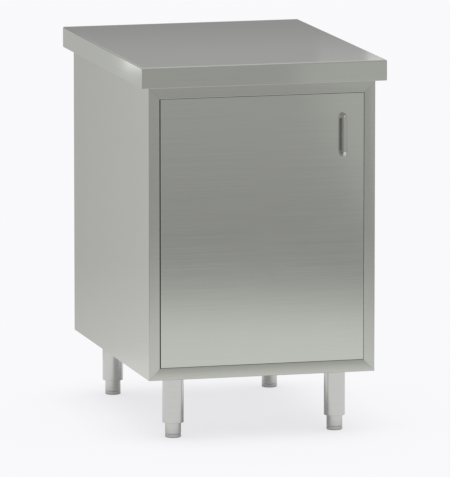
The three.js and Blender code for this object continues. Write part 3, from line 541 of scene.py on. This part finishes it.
def head_rail():
    """Door stop, reveal, upper rail, worktop flange and lip folded from one sheet, across the body."""
    corners = [
        (STOP_FRONT, OPENING_TOP - STOP_WIDTH), (STOP_FRONT, OPENING_TOP, FOLD),
        (STOP_FRONT - 2 * FOLD_OUT, OPENING_TOP), (BEHIND_FRAME, OPENING_TOP),
        (BEHIND_FRAME - FIT, OPENING_TOP), (DOOR_FRONT, OPENING_TOP, EDGE_FOLD),
        *[(BODY_FRONT + dip, BODY_TOP - across) for across, dip in frame_curve(RAIL_WIDTH)[::-1]],
        (BODY_FRONT, BODY_TOP, FOLD_OUT), (BODY_FRONT + TOP_RAIL_DEPTH, BODY_TOP, FOLD_OUT),
        (BODY_FRONT + TOP_RAIL_DEPTH, BODY_TOP - TOP_RAIL_LIP),
    ]

    def half(v, z):
        is_stop = (z < OPENING_TOP + FOLD_OUT) & (v > STOP_FRONT - FOLD_OUT)
        return np.where(is_stop, OPENING_HALF - STOP_WIDTH - FIT, rail_half(v, BODY_TOP - z))
    return folded_sheet(corners, BODY_SHEET, lambda v, z: -half(v, z), half, along_x)


for side, sign in (("left", -1), ("right", 1)):
    make_piece(f"{side}_side", side_panel(sign), body_steel, "cabinet", [f"{side}_side_panel"])
make_piece("deck_and_lower_rail", [deck()], body_steel, "cabinet", ["bottom_panel"])
make_piece("upper_rail", [head_rail()], body_steel, "cabinet", ["top_front_rail"])


# Shelf

def shelf_tray():
    """A sheet folded down on all sides, open below: rounded rectangles at each level."""
    low, high = [np.array(corner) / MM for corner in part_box("shelf")]
    half_u, half_v = (high - low)[:2] / 2
    middle = (high + low) / 2

    def level(inset, height):
        return half_u - inset, half_v - inset, height, inset
    outside = [level(inset, high[2] - drop) for inset, drop in quarter_round(SHELF_ROUND)]
    return tray(outside + [
        level(0, high[2] - SHELF_ROUND - REST), level(0, low[2]), level(SHELF_SHEET, low[2]),
        level(SHELF_SHEET, high[2] - SHELF_SHEET),
    ], SHELF_CORNER, lambda u, v, w: along_z(u + middle[0], v + middle[1], w))


make_piece("shelf_tray", [shelf_tray()], inside_steel, "cabinet", ["shelf"])


# Door

def door_level(inset, y):
    half_height = (DOOR_TOP - DOOR_BOTTOM) / 2 + DOOR_CLOSER
    return DOOR_HALF + DOOR_CLOSER / 2 - inset, half_height - inset, y, inset


def place_door(u, v, w):
    return along_y(u + DOOR_CLOSER / 2, v + (DOOR_TOP + DOOR_BOTTOM) / 2, w)


def door_face():
    """The front skin, folded back on all sides: rounded rectangles from the face to the rear edge."""
    front = [door_level(inset, DOOR_FRONT + drop) for inset, drop in quarter_round(DOOR_ROUND)]
    return tray(front + [
        door_level(0, DOOR_FRONT + DOOR_ROUND + REST), door_level(0, DOOR_BACK),
        door_level(DOOR_SHEET, DOOR_BACK), door_level(DOOR_SHEET, DOOR_FRONT + DOOR_SHEET),
    ], DOOR_CORNER, place_door)


def door_lining():
    """The rear skin, a shallow pan let into the front one, with a small round along its edge."""
    inset = DOOR_SHEET + FIT
    rear = [door_level(inset + step, DOOR_BACK - drop) for step, drop in quarter_round(DOOR_SHEET)]
    return tray(rear + [
        door_level(inset, DOOR_BACK - DOOR_PAN), door_level(inset + DOOR_SHEET, DOOR_BACK - DOOR_PAN),
        door_level(inset + DOOR_SHEET, DOOR_BACK - DOOR_SHEET),
    ], DOOR_CORNER + inset, place_door)


def bow_handle():
    """A rod from the door out, round a quarter circle, along the grip and back in the same way."""
    grip, foot = DOOR_FRONT - HANDLE_STANDOFF, DOOR_FRONT - FIT
    angle = np.linspace(0, np.pi / 2, 4 * ARC_STEPS + 1)
    y = grip + HANDLE_BEND * (1 - np.sin(angle))
    upper = np.stack([y, HANDLE_HIGH - HANDLE_BEND * (1 - np.cos(angle))], axis=-1)
    lower = np.stack([y, HANDLE_LOW + HANDLE_BEND * (1 - np.cos(angle))], axis=-1)[::-1]
    ends = np.array([[foot, HANDLE_HIGH]]), np.array([[foot, HANDLE_LOW]])
    return rod(np.vstack([ends[0], upper, lower, ends[1]]), HANDLE_X, HANDLE_RADIUS)


make_piece("door_face", [door_face()], steel, "door", ["door_outer_skin"])
make_piece("door_lining", [door_lining()], steel, "door", ["door_inner_skin"])
make_piece("bow_handle", [bow_handle()], tube, "door", ["door_handle"])


# Legs

def leg_tube(x, y):
    """A tube with eased ends: its wall's outline turned about the leg's axis."""
    bore, eased = LEG_RADIUS - LEG_WALL, FOOT_SHOWN + LEG_EASE
    outline = [(bore, FOOT_SHOWN), (LEG_RADIUS - LEG_EASE, FOOT_SHOWN), (LEG_RADIUS, eased),
               (LEG_RADIUS, eased + REST), (LEG_RADIUS, LEG_TOP), (bore, LEG_TOP)]
    return turned(outline, x, y, closed=True)


def levelling_foot(x, y):
    """Sole with a rounded edge, base ring, groove and plain barrel, turned about the leg's axis."""
    angle = np.linspace(0, np.pi / 2, ARC_STEPS + 1)
    sole = np.stack([FOOT_RADIUS - FOOT_EDGE * (1 - np.sin(angle)), FOOT_EDGE * (1 - np.cos(angle))], axis=-1)
    turn = np.linspace(0, np.pi, 2 * ARC_STEPS + 1)
    groove = np.stack([FOOT_RADIUS - FOOT_RING_GROOVE * np.sin(turn),
                       FOOT_RING_HEIGHT + FOOT_RING_GROOVE * GROOVE_RISE * (1 - np.cos(turn))], axis=-1)
    inside = FOOT_RADIUS - FOOT_WALL
    barrel = [(FOOT_RADIUS, FOOT_TOP), (inside, FOOT_TOP), (inside, FOOT_BASE), (FOOT_CENTRE, FOOT_BASE)]
    rest = [(FOOT_RADIUS, FOOT_EDGE + REST), (FOOT_RADIUS, FOOT_RING_HEIGHT - REST)]
    above = [(FOOT_RADIUS, groove[-1, 1] + REST)]
    return turned(np.vstack([[(FOOT_CENTRE, 0)], sole, rest, groove, above, barrel]), x, y)


for row, y in (("front", -LEG_Y), ("rear", LEG_Y)):
    for side, x in (("left", -LEG_X), ("right", LEG_X)):
        make_piece(f"{row}_{side}_leg", [leg_tube(x, y)], tube, "cabinet",
                   [f"leg_tube_{row}_{side}"])
        make_piece(f"{row}_{side}_levelling_foot", [levelling_foot(x, y)], tube, f"{row}_{side}_foot",
                   [f"levelling_foot_{row}_{side}"])


# Stage: pale floor, soft light and the camera

FLOOR_TONE = "#fdfdff"
FLOOR_MATT = 0.1
SHADOW_REACH = 0.25
PICTURE_HEIGHT = 477


def floor_finish():
    """Plain pale floor: an even glow with a painted shadow close under the cabinet, painted deeper in mirror
    images than to the camera, and a matt part.

    It is clear from below.
    """
    material, tree = new_material("pale_floor", clear=True)
    open_sky = add_node(tree, "ShaderNodeAmbientOcclusion", {"Distance": SHADOW_REACH}).outputs["AO"]
    # painted shadow: occlusion dims the glow under the cabinet, faintly to the camera and much more in
    # reflections on the steel
    camera_strength_painted_shadow = ramp(tree, open_sky, 0.1, 0.9, 0.75, 1.0)
    mirror_strength_painted_shadow = ramp(tree, open_sky, 0.3, 0.9, 0.2, 0.95)
    direct = add_node(tree, "ShaderNodeLightPath").outputs["Is Camera Ray"]
    glow = add_node(tree, "ShaderNodeEmission", {"Color": linear(FLOOR_TONE)},
                    {"Strength": blend(tree, direct, mirror_strength_painted_shadow, camera_strength_painted_shadow)})
    matt = add_node(tree, "ShaderNodeBsdfDiffuse", {"Color": linear(FLOOR_TONE)})
    both = add_node(tree, "ShaderNodeMixShader", {"Fac": FLOOR_MATT},
                    {1: glow.outputs[0], 2: matt.outputs[0]})
    below = add_node(tree, "ShaderNodeNewGeometry").outputs["Backfacing"]
    clear = add_node(tree, "ShaderNodeBsdfTransparent")
    seen = add_node(tree, "ShaderNodeMixShader", None, {0: below, 1: both.outputs[0], 2: clear.outputs[0]})
    add_node(tree, "ShaderNodeOutputMaterial", None, {"Surface": seen.outputs[0]})
    material.cycles.emission_sampling = "NONE"
    return material


def screen_finish():
    """Glowing grey screen, no lamp, for the steel to mirror: its glow is a painted reflection, light at its
    foot, darkest low down before the door.

    Behind the cabinet it is lighter to the left, and darker along the top.
    """
    material, tree = new_material("grey_screen", clear=True)
    place = add_node(tree, "ShaderNodeTexCoord").outputs["Object"]
    x, y, z = add_node(tree, "ShaderNodeSeparateXYZ", None, {"Vector": place}).outputs
    # painted reflection: these glow levels set the light and dark bands that the steel mirrors
    foot = ramp(tree, z, 0.0, 0.18, 1.0, 0.385, "SMOOTHSTEP")
    rise = ramp(tree, z, 0.26, 0.55, 0.0, 0.11)
    left = ramp(tree, x, -0.66, -0.38, 0.69, 0.58)
    hem = ramp(tree, z, 0.0, 0.25, 0.13, 0.0)
    drop = ramp(tree, z, 0.92, 0.95, 0.0, -0.27)
    crown = ramp(tree, z, 0.95, 1.06, 0.0, 0.10)
    back = add_up(tree, add_up(tree, left, hem), add_up(tree, drop, crown))
    level = blend(tree, ramp(tree, y, -0.6, 0.6, 0.0, 1.0), add_up(tree, foot, rise), back)
    glow = add_node(tree, "ShaderNodeEmission", None, {"Strength": level})
    add_node(tree, "ShaderNodeOutputMaterial", None, {"Surface": glow.outputs[0]})
    material.cycles.emission_sampling = "NONE"
    return material


def lay_floor(half, drop):
    """A square sheet just below the soles."""
    mesh = bpy.data.meshes.new("floor")
    corners = half * np.array([[-1, -1], [1, -1], [1, 1], [-1, 1]])
    mesh.from_pydata(np.c_[corners, np.full(4, -drop)].tolist(), [], [[0, 1, 2, 3]])
    mesh.materials.append(floor_finish())
    floor = bpy.data.objects.new("floor", mesh)
    bpy.context.scene.collection.objects.link(floor)


def stand_screen(radius, forward, height):
    """A glowing ring round the cabinet, r cos t, r sin t, z, whose glow paints reflections on the steel. Like
    the lamps, only its mirror image shows.
    """
    turn = np.linspace(0, 2 * np.pi, ROUND_STEPS, endpoint=False)
    ring = np.stack([radius * np.cos(turn), radius * np.sin(turn) - forward], axis=-1)
    points = np.vstack([np.c_[ring, np.zeros(ROUND_STEPS)], np.c_[ring, np.full(ROUND_STEPS, height)]])
    mesh = bpy.data.meshes.new("screen")
    mesh.from_pydata(points.tolist(), [], grid_faces(2, ROUND_STEPS).tolist())
    mesh.materials.append(screen_finish())
    screen = bpy.data.objects.new("screen", mesh)
    screen.visible_camera = screen.visible_diffuse = screen.visible_shadow = False
    bpy.context.scene.collection.objects.link(screen)


def soft_lamp(name, place, aim, width, height, power, lean=0):
    """A rectangular soft lamp at place that faces aim, leaning by an angle in degrees."""
    data = bpy.data.lights.new(name, "AREA")
    data.shape = "RECTANGLE"
    data.size, data.size_y, data.energy = width, height, power
    lamp = bpy.data.objects.new(name, data)
    lamp.location = place
    toward = Vector(aim) - Vector(place)
    roll = Quaternion((0, 0, 1), math.radians(lean))
    lamp.rotation_euler = (toward.to_track_quat("-Z", "Y") @ roll).to_euler()
    lamp.visible_camera = False
    bpy.context.scene.collection.objects.link(lamp)


def light_world():
    """Grey surroundings: lightest low down before the door, and overhead behind the cabinet."""
    world = bpy.data.worlds.new("studio")
    world.use_nodes = True
    tree = world.node_tree
    tree.nodes.clear()
    way = add_node(tree, "ShaderNodeTexCoord").outputs["Generated"]
    _, y, z = add_node(tree, "ShaderNodeSeparateXYZ", None, {"Vector": way}).outputs
    ahead = ramp(tree, z, 0.0, 0.5, 0.85, 0.53)
    behind = ramp(tree, z, 0.0, 0.32, 0.28, 0.84)
    above = ramp(tree, z, 0.5, 1.0, 0.0, 0.35)
    round_about = blend(tree, ramp(tree, y, -0.3, 0.3, 0.0, 1.0), ahead, behind)
    ground = add_node(tree, "ShaderNodeBackground", None, {"Strength": add_up(tree, round_about, above)})
    add_node(tree, "ShaderNodeOutputWorld", None, {"Surface": ground.outputs[0]})
    bpy.context.scene.world = world


def place_camera(azimuth, elevation, distance, aim_height, aside, lift, focal_pixels):
    """A long lens at the photograph's angle, aimed so that the frame needs no shift."""
    a, e = math.radians(azimuth), math.radians(elevation)
    back = np.array([math.sin(a) * math.cos(e), -math.cos(a) * math.cos(e), math.sin(e)])
    right = np.array([math.cos(a), math.sin(a), 0.0])
    up = np.cross(back, right)
    data = bpy.data.cameras.new("camera")
    data.sensor_width = 36.0
    data.lens = focal_pixels * data.sensor_width / PICTURE_HEIGHT
    camera = bpy.data.objects.new("camera", data)
    camera.location = np.array([0, 0, aim_height]) + aside * right + lift * up + distance * back
    camera.rotation_euler = Vector(-back).to_track_quat("-Z", "Y").to_euler()
    bpy.context.scene.collection.objects.link(camera)
    bpy.context.scene.camera = camera


lay_floor(half=40.0, drop=0.0004)
stand_screen(radius=1.3, forward=0.45, height=1.06)
light_world()
soft_lamp("right_panel", (0.68, -1.45, 0.60), (0.38, -0.38, 0.76), width=0.4, height=0.5, power=0.07, lean=21)
soft_lamp("rear_panel", (0.72, 0.80, 1.10), (0.22, -0.30, 0.90), width=0.5, height=0.3, power=0.05)
soft_lamp("left_spot", (-0.69, 0.60, 0.84), (-0.30, -0.38, 0.88), width=0.18, height=0.16, power=0.056)
soft_lamp("rear_spot", (0.625, 0.62, 1.13), (0.29, -0.39, 0.904), width=0.16, height=0.12, power=0.045)
place_camera(azimuth=-14.742, elevation=8.961, distance=17.2131, aim_height=0.452, aside=0.0070,
             lift=-0.0263, focal_pixels=7094.6)
bpy.context.scene.view_settings.view_transform = "Standard"
